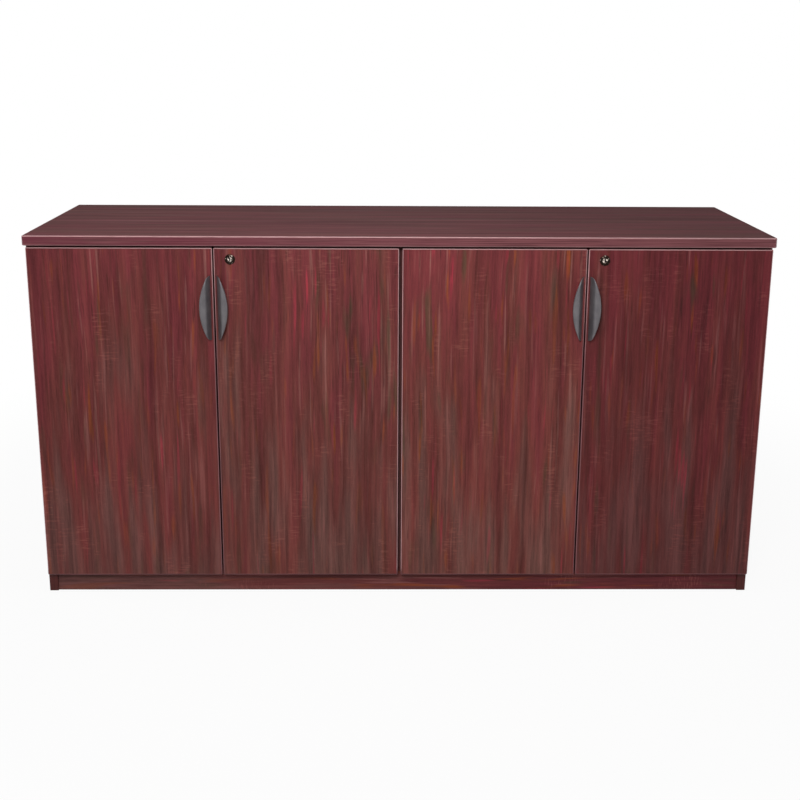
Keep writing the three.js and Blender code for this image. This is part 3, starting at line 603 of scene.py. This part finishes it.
# the uprights' bands, seen between the doors, are darker: painted shade, with little painted highlight
uprightFinish = edgeBandFinish("upright_edge_band", uprightTurns, (0.12, 0.12), ("shadedBase", "shadedStreak"))
shelfFinish = edgeBandFinish("shelf_edge_band", shelfTurns, (0.3, 0.3))
for bay in sides:
    for upright in (f"{bay}_end_panel", f"{bay}_partition"):
        strip = bandFront(upright, 2, 0)
        if "partition" in upright:  # it stops above the toe kick
            lowest = boxOf("kick_panel")[1][2] + frontBand["aboveKick"]
            strip[0][:, 2] = np.maximum(strip[0][:, 2], lowest)
        makePiece(f"{upright}_edge_band", [strip], uprightFinish, "carcass")
    strip = bandFront(f"{bay}_shelf", 0, 2)
    makePiece(f"{bay}_shelf_edge_band", [strip], shelfFinish, "carcass")

# glue line that closes the hairline between the two partitions near the back
glueLook = {"thick": 0.24, "wide": 4.0, "fromBack": 5.0, "fromFloor": 0.5, "ease": 0.1}
near, far = boxOf("left_partition")[1], boxOf("right_partition")[0]
path = np.tile((near + far) / 2, (2, 1))
path[:, 1] = near[1] - glueLook["fromBack"]
path[:, 2] = glueLook["fromFloor"], near[2]
strip, _ = roundedOutline(glueLook["thick"], glueLook["wide"], glueLook["ease"])
line = carried(strip, path, np.tile([1.0, 0.0, 0.0], (2, 1)), np.tile([0.0, 1.0, 0.0], (2, 1)))
makePiece("partition_glue_line", [shellOf(line)], glue, "carcass")
print("edge bands made")


# a door's own frame: x inwards from the hinge edge, y back from the rear face, z up from the bottom
def doorFrame(door):
    low, high = boxOf(door)
    left = "left_door" in door
    origin = np.array([low[0] if left else high[0], high[1], low[2]])
    return origin, np.array([1.0 if left else -1.0, 1.0, 1.0]), high - low


def placed(shell, origin, turn):  # a shell in a door's frame, moved to its place
    return (origin + shell[0] * turn, *shell[1:])


# Screw head: a low dome with a cross sunk in it. Height = dome of the distance from the middle,
# less the recess where the nearer arm of the cross is close.
screwLook = {
    "armWidth": 0.17, "armLength": 0.62, "recess": 0.4, "dome": 0.9, "under": 0.4, "rings": 11, "steps": 40,
}


def screwHead(centre, axis, radius, rise, facing=1.0):
    ring = np.linspace(1, 0, screwLook["rings"])[:, None]
    angle = np.linspace(0, 2 * math.pi, screwLook["steps"] + 1)[None]
    first, second = ring * np.cos(angle), ring * np.sin(angle)
    nearArm = np.minimum(np.abs(first), np.abs(second)) < screwLook["armWidth"]
    sunk = nearArm & (ring < screwLook["armLength"])
    dome = np.sqrt(1 - (screwLook["dome"] * ring) ** 2) * np.ones_like(angle)
    height = rise * dome - screwLook["recess"] * rise * sunk
    rim = np.stack([np.cos(angle[0]), np.sin(angle[0])], 1)
    flat = np.stack([first, second], -1) * radius
    skirt = np.stack([rim * 0, rim * radius])  # closed underneath, then up the rim
    spread = np.concatenate([skirt, flat])
    level = np.concatenate([np.full((2, angle.size), -screwLook["under"]), height])
    direction, side, over = np.roll(np.eye(3), -axis, 0)
    grid = np.array(centre) + facing * level[..., None] * direction
    grid = grid + spread[..., :1] * side + spread[..., 1:] * over
    return shellOf(grid, capped=False)


# Crescent pull. The section rises from the straight edge to a crest, rolls over the rim and comes back under
# the wing to the stem. Along the pull its width follows 1 - t^2 and closes in a round nose at each end; a
# narrowed section is drawn down so that its face stays on one curve:
# face = projection (1 - (1 - x / crest)^2).
pullLook = {
    "width": 26.5, "projection": 22.0, "crest": 16.0, "stem": 11.0, "fingerGap": 13.0,
    "tipWidth": 5.5, "nose": 6.0, "stations": 97, "steps": 14,
}


def pullFace(x):
    return pullLook["projection"] * (1 - np.clip(1 - x / pullLook["crest"], 0, 1) ** 2)


def pullShell(door):
    _, turn, _ = doorFrame(door)
    low, high = boxOf(f"{door}_pull")
    width, projection, crest = pullLook["width"], pullLook["projection"], pullLook["crest"]
    stem, gap, steps = pullLook["stem"], pullLook["fingerGap"], pullLook["steps"]
    middle = (projection + gap) / 2
    front = bezier([(0, 0), (crest / 2, projection), (crest, projection)], 2 * steps)
    over = bezier([(crest, projection), (width, projection), (width, middle)], steps)
    under = bezier([(width, middle), (width, gap), (crest, gap)], steps)
    inner = bezier([(crest, gap), (stem, gap), (stem, 0)], steps)
    section = np.concatenate([front, over[1:], under[1:], inner[1:], front[:1]])
    t = np.sin(np.linspace(-math.pi / 2, math.pi / 2, pullLook["stations"]))
    half = (high[2] - low[2]) / 2
    closing = np.clip((np.abs(t) * half - half + pullLook["nose"]) / pullLook["nose"], 0, 1)
    wide = (pullLook["tipWidth"] + (width - pullLook["tipWidth"]) * (1 - t**2)) * np.sqrt(1 - closing**2)
    x = section[:, 0] / width * wide[:, None]
    lift = pullFace(x) / np.maximum(pullFace(section[:, 0]), 1e-6)
    edge = high[0] if turn[0] > 0 else low[0]  # the straight edge, beside the gap between the doors
    grid = np.zeros((*x.shape, 3))
    grid[..., 0] = edge - turn[0] * x
    grid[..., 1] = high[1] - section[:, 1] * lift
    grid[..., 2] = ((low[2] + high[2]) / 2 + t * half)[:, None]
    return shellOf(grid, capped=False)


pullScrew = {"spread": 48.0, "inset": 8.0, "radius": 4.2, "rise": 1.8}
for door in doorNames:
    leaf, pull = f"{door}_leaf", f"{door}_pull"
    makePiece(f"{door}_crescent_pull", [pullShell(door)], pullGrey, leaf, [pull])
    origin, turn, _ = doorFrame(door)
    low, high = boxOf(pull)
    screwX = (high[0] if turn[0] > 0 else low[0]) - turn[0] * pullScrew["inset"]
    heads = []
    for side in (-1, 1):
        at = screwX, origin[1], (low[2] + high[2]) / 2 + side * pullScrew["spread"]
        heads.append(screwHead(at, 1, pullScrew["radius"], pullScrew["rise"]))
    makePiece(f"{door}_pull_screws", heads, zinc, leaf)
print("pulls made")

# Cup hinges: a drawn cup with a rolled rim, two wings on the door's back, a pin, and an arm over its plate
hingeLook = {
    "endDistance": 100.0, "cupMiddle": 20.5, "cupRadius": 17.5, "cupBore": 16.7, "cupDepth": 13.0,
    "floorThick": 0.8, "rim": 18.0, "flangeTop": 1.5, "seat": 0.3,
    "rounds": (1.0, 0.5, 0.4, 1.5),  # of the cup's outer floor, rim, mouth and inner floor
    "wingMiddle": 30.0, "wingWidth": 14.0, "wingSpan": 58.0, "wingStart": 17.3, "wingEase": 0.3,
    "pinInset": 7.996, "pinDepth": 9.5, "pinRadius": 1.2, "pinReach": 17.1,
    "knuckle": 2.5, "knuckleBore": 1.5, "knuckleEase": 0.3, "panelFace": 18.0,
    "armWidth": 10.0, "armThick": 2.5, "armEase": 0.8, "armStandoff": 2.0, "bend": 3.0, "neckEnd": 2.5,
    "bodyStart": 15.5, "bodyWidth": 13.0, "bodyHeight": 12.0, "bodyRound": 2.2,
    "bodyRows": [  # distance from its start, and the shares of its height and width there
        (0, 0.62, 0.9), (0.6, 0.7, 1), (6, 0.9, 1), (14, 1, 1),
        (40, 1, 1), (47, 0.78, 1), (49.4, 0.62, 1), (50, 0.56, 0.92),
    ],
    "plateMiddle": 40.5, "plateWidth": 18.0, "plateSpan": 48.0, "plateThick": 2.0,
    "plateRound": 7.0, "plateEase": 0.4,
    "wingScrews": ((-21.5, 21.5), 3.9, 1.3),  # places, radius and rise
    "bodyScrews": ((15.0, 37.0), 3.0, 0.9),
    "plateScrews": ((-16.0, 16.0), 3.8, 1.4),
}


def hingeCupShells():
    look = hingeLook
    top, bore = look["flangeTop"], look["cupBore"]
    floor = -look["cupDepth"]
    innerFloor = floor + look["floorThick"]
    outer, rim, lip, inner = look["rounds"]
    outside = arc((floor + outer, look["cupRadius"] - outer), outer, 180, 90, 6)
    rolled = arc((top - rim, look["rim"] - rim), rim, 90, 0, 6)
    mouth = arc((top - lip, bore + lip), lip, 0, -90, 5)
    inside = arc((innerFloor + inner, bore - inner), inner, 90, 180, 6)
    profile = np.concatenate([
        [(floor, 0)], outside, [(look["seat"], look["cupRadius"]), (look["seat"], look["rim"])],
        rolled, mouth, inside, [(innerFloor, 0)],
    ])
    cup = turned(profile, (look["cupMiddle"], 0, 0), 1, 56)
    # wings: straight sides, a round outer end, and an inner end that follows the cup's rim
    half = look["wingWidth"] / 2
    offset = look["wingMiddle"] - look["cupMiddle"]
    aside = np.linspace(half, -half, 13) + offset
    innerEnd = np.stack([aside + look["cupMiddle"], np.sqrt(look["wingStart"] ** 2 - aside**2)], 1)
    outerEnd = arc((look["wingMiddle"], look["wingSpan"] / 2 - half), half, 180, 0, 21)
    outline = np.concatenate([innerEnd, outerEnd])[::-1]
    wing = plate(outline, top - look["seat"], look["wingEase"])
    wing = wing[..., [0, 2, 1]] + [0, look["seat"], 0]
    wings = [shellOf(wing), shellOf(wing * [1, 1, -1])]
    chord = math.sqrt(look["pinReach"] ** 2 - (look["cupMiddle"] - look["pinInset"]) ** 2)
    pinLine = [(-chord, 0), (-chord, look["pinRadius"]), (chord, look["pinRadius"]), (chord, 0)]
    pin = turned(pinLine, (look["pinInset"], -look["pinDepth"], 0), 2, 20)
    places, radius, rise = look["wingScrews"]
    heads = [screwHead((look["wingMiddle"], top, up), 1, radius, rise) for up in places]
    return [cup, *wings, pin], heads


# the arm: a strip with round edges from the knuckle along the cup, round the bend and back to the body;
# the body is a rounded block with sloping ends, and the plate has round corners
def hingeArmShells():
    look = hingeLook
    low = -look["pinDepth"] - look["knuckle"]
    near = look["panelFace"] + look["armStandoff"]
    centre = low + look["armThick"] / 2
    far = near + look["armThick"] / 2
    radius = look["bend"] - look["armThick"] / 2
    bend = arc((far - radius, centre + radius), radius, -90, 0, 9)
    line = np.concatenate([[(look["pinInset"], centre)], bend, [(far, look["bodyStart"] + look["neckEnd"])]])
    heading = np.gradient(line, axis=0)
    heading /= np.linalg.norm(heading, axis=1)[:, None]
    path = np.column_stack([line, np.zeros(len(line))])
    outward = np.column_stack([heading[:, 1], -heading[:, 0], np.zeros(len(line))])
    across = np.tile([0.0, 0.0, 1.0], (len(line), 1))
    strip, _ = roundedOutline(look["armThick"], look["armWidth"], look["armEase"], 5)
    neck = shellOf(carried(strip, path, outward, across))
    half, bore, ease = look["armWidth"] / 2, look["knuckleBore"], look["knuckleEase"]
    shoulder = look["knuckle"] - ease
    ring = [(-half, bore), (-half, shoulder), (-half + ease, look["knuckle"]), (half - ease, look["knuckle"])]
    ring += [(half, shoulder), (half, bore), (-half, bore)]
    knuckle = turned(ring, (look["pinInset"], -look["pinDepth"], 0), 2, 28)
    # body: a rounded section carried back from the neck, lower at both ends
    seat, top = look["panelFace"] + look["seat"], look["panelFace"] + look["bodyHeight"]
    tall = top - seat
    section, _ = roundedOutline(tall, look["bodyWidth"], look["bodyRound"], 6)
    run, height, width = np.array(look["bodyRows"]).T[..., None]
    body = np.zeros((len(run), len(section), 3))
    body[..., 0] = seat + (section[:, 0] + tall / 2) * height
    body[..., 1] = look["bodyStart"] + run
    body[..., 2] = section[:, 1] * width
    outline, _ = roundedOutline(look["plateWidth"], look["plateSpan"], look["plateRound"], 9)
    base = plate(outline[:-1], look["plateThick"], look["plateEase"])
    base = base[..., [2, 0, 1]] + [seat, look["plateMiddle"], 0]
    places, size, rise = look["bodyScrews"]
    heads = [screwHead((top, look["bodyStart"] + along, 0), 0, size, rise) for along in places]
    places, size, rise = look["plateScrews"]
    seat += look["plateThick"]
    heads += [screwHead((seat, look["plateMiddle"], up), 0, size, rise) for up in places]
    return [neck, knuckle, shellOf(body), shellOf(base)], heads


for door in doorNames:
    origin, turn, size = doorFrame(door)
    for level, height in (("lower", hingeLook["endDistance"]), ("upper", size[2] - hingeLook["endDistance"])):
        at = origin + [0, 0, height]
        hinge = f"{door}_{level}_hinge"
        for half, body, word, (shells, heads) in (
            ("cup", f"{door}_leaf", "drawn", hingeCupShells()),
            ("arm", "carcass", "pressed", hingeArmShells()),
        ):
            shells, heads = ([placed(shell, at, turn) for shell in group] for group in (shells, heads))
            makePiece(f"{hinge}_{word}_{half}", shells, nickel, body, [f"{hinge}_{half}"])
            makePiece(f"{hinge}_{half}_screws", heads, zinc, body)
print("hinges made")

# Cam locks: a round-shouldered bezel on a threaded barrel, a plug with a keyway, and a chamfered nut.
# Along the lock's axis, 0 is the front face of the door.
lockLook = {
    "bezel": 12.5, "bezelThick": 3.0, "shoulder": 2.2, "lip": 0.35, "seat": 0.3, "bore": 6.8,
    "barrel": 9.0, "behind": 7.0, "threadPitch": 1.0, "threadDepth": 0.35, "threadFrom": 0.4, "threadTo": 0.6,
    "rearEase": [(0.4, 0.3), (0.0, 0.8)],  # back from the barrel's end, and in from its outside
    "plug": 6.5, "recess": 0.5, "plugRim": [(0.4, 0.0), (0.15, 0.12), (0.0, 0.4)],
    "keyWidth": 2.4, "keyHeight": 8.4, "keyDepth": 7.0, "keyEase": 0.25, "shadedDepths": (0.1, 0.2),
    "stub": 4.0, "stubEnd": 9.6, "head": 5.5, "headThick": 2.0, "headEase": 0.5,
    "nutFlats": 23.0, "nutThick": 5.0, "nutFit": 0.4, "nutEase": 0.5, "nutCone": (1.0, 0.15),
    "strikeScrews": ((-9.0, 9.0), 13.0, 2.0, 3.6, 1.4),  # aside, from the front, under the top, radius, rise
}


def lockHousingShell(centre):
    look = lockLook
    lip, bore, barrel, seat = look["lip"], look["bore"], look["barrel"], -look["seat"]
    face, end = seat - look["bezelThick"], doorThick + look["behind"]
    mouth = arc((face + lip, bore + lip), lip, -90, -180, 5)
    # domed face: a quarter of an ellipse from the lip out to the rim
    dome = arc((0, 0), 1, 180, 90, 16) * [look["shoulder"], look["bezel"] - bore - 2 * lip]
    shoulder = dome + [face + look["shoulder"], bore + 2 * lip]
    threadFrom = doorThick + look["threadFrom"]
    back = [(seat, look["bezel"]), (seat, barrel), (threadFrom, barrel)]
    turns = np.arange(threadFrom, end - look["threadTo"], look["threadPitch"] / 2)
    thread = np.stack([turns, barrel - look["threadDepth"] * (np.arange(len(turns)) % 2)], 1)
    rear = [(end - before, barrel - inwards) for before, inwards in look["rearEase"]] + [(end, bore)]
    profile = np.concatenate([mouth, shoulder, back, thread[1:], rear, mouth[:1]])
    return turned(profile, centre, 1, 56)


# plug: rings that start as the keyway's outline and become circles, from the keyway's floor out to the face,
# over the rim (in from its outside, and back from its face) and down the barrel to the stub and its head
def lockPlugShell(centre):
    look = lockLook
    steps = 48
    angle = np.linspace(0, 2 * math.pi, steps + 1)
    x, z = np.cos(angle), np.sin(angle)
    halfWide, halfTall = look["keyWidth"] / 2, look["keyHeight"] / 2
    fit = np.minimum(halfWide / np.maximum(np.abs(x), 1e-9), halfTall / np.maximum(np.abs(z), 1e-9))
    slot = np.stack([x * fit, z * fit], 1)
    circle = np.stack([x, z], 1)
    face = -look["seat"] - look["bezelThick"] + look["recess"]
    rear, stubEnd = doorThick + look["behind"], doorThick + look["stubEnd"]
    keyFloor, headEnd = face + look["keyDepth"], stubEnd + look["headThick"]
    easedSlot = slot * (1 + look["keyEase"] / np.linalg.norm(slot, axis=1))[:, None]
    rim = [(circle * (look["plug"] - inwards), face + back) for inwards, back in look["plugRim"]]
    rows = [(slot * 0, keyFloor), (slot, keyFloor), (slot, face + look["keyEase"]), (easedSlot, face)]
    rows += [((easedSlot + rim[0][0]) / 2, face), *rim]
    stub, head, ease = look["stub"], look["head"], look["headEase"]
    shaft = [(look["plug"], rear), (stub, rear), (stub, stubEnd), (head, stubEnd)]
    shaft += [(head, headEnd - ease), (head - ease, headEnd), (0, headEnd)]
    rows += [(circle * radius, along) for radius, along in shaft]
    grid = np.array([np.insert(ring, 1, along, axis=1) for ring, along in rows])
    return shellOf(grid + np.array(centre), capped=False)


# nut: a ring whose outside is a hexagon, cut back to a cone at the corners of its free face
def lockNutShell(centre):
    look = lockLook
    steps = 72
    angle = np.linspace(0, 2 * math.pi, steps + 1)
    fromFlat = (angle + math.pi / 6) % (math.pi / 3) - math.pi / 6
    hexagon = look["nutFlats"] / 2 / np.cos(fromFlat)
    coneLength, coneOut = look["nutCone"]
    coned = np.minimum(hexagon, look["nutFlats"] / 2 + coneOut)
    near, far = doorThick + look["seat"], doorThick + look["seat"] + look["nutThick"]
    bore, ease = np.full(steps + 1, look["barrel"] + look["nutFit"]), look["nutEase"]
    rings = [(bore, near), (hexagon, near), (hexagon, far - coneLength), (coned, far)]
    rings += [(bore + ease, far), (bore, far - ease), (bore, near)]
    circle = np.stack([np.cos(angle), np.zeros(steps + 1), np.sin(angle)], 1)
    grid = np.array([radius[:, None] * circle + [0, along, 0] for radius, along in rings])
    return shellOf(grid + np.array(centre), capped=False)


keyFace = boxOf("left_bay_right_door")[0][1] - lockLook["seat"] - lockLook["bezelThick"] + lockLook["recess"]
before, past = lockLook["shadedDepths"]  # painted shade: dark from just behind the plug's face to just past the keyway's floor
keywayShade = (keyFace + before) * mm, (keyFace + lockLook["keyDepth"] + past) * mm
# the plug's near-white and near-black blotches are painted glints and painted dark reflections on its face
plugGlintTones = tint(226, 212, 200), tint(40, 31, 27)
plugNickel = metal("plug_nickel", *plugGlintTones, 0.18, (270, 0.48, 0.62), shadedDepths=keywayShade)
for bay in sides:
    lock, door = f"{bay}_bay_lock", f"{bay}_bay_right_door"
    leaf = f"{door}_leaf"
    low, high = boxOf(f"{lock}_housing")
    centre = ((low[0] + high[0]) / 2, boxOf(door)[0][1], (low[2] + high[2]) / 2)
    housing, plug, nut = lockHousingShell(centre), lockPlugShell(centre), lockNutShell(centre)
    makePiece(f"{lock}_bezel_barrel", [housing], darkNickel, leaf, [f"{lock}_housing"])
    makePiece(f"{lock}_key_plug", [plug], plugNickel, f"{lock}_core", [f"{lock}_plug"])
    makePiece(f"{lock}_hex_nut", [nut], zinc, leaf, [f"{lock}_nut"])
    low, high = boxOf(f"{lock}_strike")
    places, fromFront, sunk, radius, rise = lockLook["strikeScrews"]
    at = [(centre[0] + aside, low[1] + fromFront, high[2] - sunk) for aside in places]
    heads = [screwHead(place, 2, radius, rise, -1) for place in at]
    makePiece(f"{lock}_strike_screws", heads, zinc, "carcass")
print("locks made")

# Shelf pins: a peg in the panel and a collar with rounded ends under the shelf
pinLook = {
    "peg": 2.4, "pegLength": 9.0, "tip": 0.5, "collar": 3.5, "collarLength": 9.0, "seat": 0.3, "ease": 0.6,
}


def pinShell(low, high, turn):  # turn is 1 for a peg to the left and -1 for one to the right
    peg, length, tip, collar, end, seat, ease = pinLook.values()
    middle = (low + high) / 2
    middle[0] = (low[0] if turn > 0 else high[0]) + turn * length
    profile = [(-length, 0), (-length, peg - tip), (tip - length, peg), (seat, peg)]
    profile += arc((seat + ease, collar - ease), ease, 180, 90, 5).tolist()
    profile += arc((end - ease, collar - ease), ease, 90, 0, 5).tolist() + [(end, 0)]
    return turned(np.array(profile) * [turn, 1], middle, 0, 28)


for bay in sides:
    for side, turn in (("left", 1), ("right", -1)):
        for place in ("front", "rear"):
            pin = f"{bay}_bay_{side}_{place}_shelf_pin"
            makePiece(f"{pin}_turned", [pinShell(*boxOf(pin), turn)], zinc, "carcass", [pin])

# Bumpers: soft domes on the back of each door, where it meets the bottom's front edge
bumperLook = {
    "radius": 4.5, "rise": 3.1, "side": 0.6, "fromHinge": (32.0, 395.0), "height": 9.0, "clear": 0.02,
}
radius, rise, side = bumperLook["radius"], bumperLook["rise"], bumperLook["side"]
dome = bezier([(side, radius), (rise, radius), (rise, 0)], 9).tolist()
profile = [(0, 0), (0, radius), *dome]
for door in doorNames:
    origin, turn, _ = doorFrame(door)
    domes = []
    for along in bumperLook["fromHinge"]:
        dome = turned(profile, (along, bumperLook["clear"], bumperLook["height"]), 1, 28)
        domes.append(placed(dome, origin, turn))
    makePiece(f"{door}_bumpers", domes, softPlastic, f"{door}_leaf")
print("pins and bumpers made")

# Studio: pale floor, white surroundings, a key lamp over the camera and weaker lamps for the other sides
studio = {
    "floorSize": 16.0,
    "floorColour": tint(238, 238, 238),
    "ambient": 0.13,
    "underneath": ((0.885, 0.89), (0.28, 0.285), 0.025),  # where it is dark: half sizes, and the middle's y
    "whiteFrom": (1.1, 2.4),  # metres from the middle over which the floor's shade fades out
    "shade": 0.07,
    "lamps": [  # name, place, target, width, height and power
        ("key_lamp", (-0.5, -3.7, 2.7), (-0.1, -0.2, 0.4), 0.8, 0.8, 76.5),
        ("fill_lamp", (2.4, -3.8, 1.7), (0.0, 0.0, 0.45), 1.8, 1.8, 4.0),
        ("strip_lamp", (-0.2, -0.55, 1.6), (-0.1, -0.25, 0.9), 2.4, 0.4, 6.4),
        ("spark_lamp", (-1.3, -3.6, 2.5), (-0.1, -0.2, 0.6), 0.26, 0.26, 12.0),
        ("left_side_lamp", (-3.4, 0.25, 0.6), (-0.9, 0.05, 0.45), 1.2, 1.0, 32.0),
        ("right_side_lamp", (3.4, 0.25, 0.6), (0.9, 0.05, 0.45), 1.2, 1.0, 32.0),
        ("rear_lamp", (0.0, 3.6, 0.6), (0.0, 0.3, 0.45), 2.4, 1.0, 56.0),
    ],
}


def lookAt(place, target):  # a lamp shines along its own -Z
    turn = (Vector(place) - Vector(target)).to_track_quat("Z", "Y")
    return Matrix.Translation(place) @ turn.to_matrix().to_4x4()


for name, place, target, width, height, power in studio["lamps"]:
    lamp = bpy.data.lights.new(name, "AREA")
    lamp.shape, lamp.size, lamp.size_y, lamp.energy = "ELLIPSE", width, height, power
    lampObject = bpy.data.objects.new(name, lamp)
    lampObject.matrix_world = lookAt(place, target)
    scene.collection.objects.link(lampObject)

world = bpy.data.worlds.new("studio_world")
world.use_nodes = True
scene.world = world
wire = Wire(world.node_tree)


def seenDirectly(wire):  # 1 for rays from the camera, a mirror or a glass, 0 for light falling on things
    rays = "Is Camera Ray", "Is Glossy Ray", "Is Transmission Ray"
    camera, glossy, passing = (wire.node("LightPath", out=ray) for ray in rays)
    return (camera + glossy + passing).between(0, 0.5)


ambient = wire.node("Background", {}, {"Color": (1, 1, 1, 1), "Strength": studio["ambient"]})
white = wire.node("Background", {}, {"Color": (1, 1, 1, 1), "Strength": 1.0})
sky = wire.node("MixShader", {}, {0: seenDirectly(wire), 1: ambient, 2: white})
world.node_tree.links.new(sky.socket, world.node_tree.nodes["World Output"].inputs["Surface"])

half = studio["floorSize"] / 2
floorMesh = bpy.data.meshes.new("studio_floor")
corners = [(-half, -half, 0), (half, -half, 0), (half, half, 0), (-half, half, 0)]
floorMesh.from_pydata(corners, [], [(0, 1, 2, 3)])
floor = bpy.data.objects.new("studio_floor", floorMesh)
scene.collection.objects.link(floor)
floorPaint = bpy.data.materials.new("studio_floor")
floorPaint.use_nodes = True
wire = Wire(floorPaint.node_tree)
matt = wire.node("BsdfDiffuse", {}, {"Color": studio["floorColour"]})
glow = wire.node("Emission", {}, {"Color": (1, 1, 1, 1), "Strength": 1.0})
place = wire.place()
distance = wire.node("VectorMath", {"operation": "LENGTH"}, {0: place}, "Value")
plain = 1 - studio["shade"] * (1 - distance.between(*studio["whiteFrom"]))
halfX, halfY, middleY = studio["underneath"]
centred = wire.vector("SUBTRACT", place, (0.0, middleY, 0.0))
centred = wire.node("VectorMath", {"operation": "ABSOLUTE"}, {0: centred})
asideX, asideY = (centred.part(axis) for axis in "XY")
under = (1 - asideX.between(*halfX)) * (1 - asideY.between(*halfY))
plain = plain * (1 - under)
paint = wire.node("MixShader", {}, {0: seenDirectly(wire) * plain, 1: matt, 2: glow})
floorPaint.node_tree.links.new(paint.socket, floorPaint.node_tree.nodes["Material Output"].inputs["Surface"])
floorMesh.materials.append(floorPaint)

# Camera fitted to the corners of the top and the doors
cameraLook = {
    "place": (-0.0474, -3.3767, 1.3672), "tilt": 15.416, "pan": -0.880, "roll": 0.328,
    "lens": 58.413, "sensor": 36.0,
}
camera = bpy.data.objects.new("camera", bpy.data.cameras.new("camera"))
camera.data.lens, camera.data.sensor_width = cameraLook["lens"], cameraLook["sensor"]
turnZ = Matrix.Rotation(math.radians(cameraLook["pan"]), 4, "Z")
turnX = Matrix.Rotation(math.radians(90 - cameraLook["tilt"]), 4, "X")
roll = Matrix.Rotation(math.radians(cameraLook["roll"]), 4, "Z")
camera.matrix_world = Matrix.Translation(cameraLook["place"]) @ turnZ @ turnX @ roll
scene.collection.objects.link(camera)
scene.camera = camera
scene.view_settings.view_transform = "Standard"
print("studio and camera set")
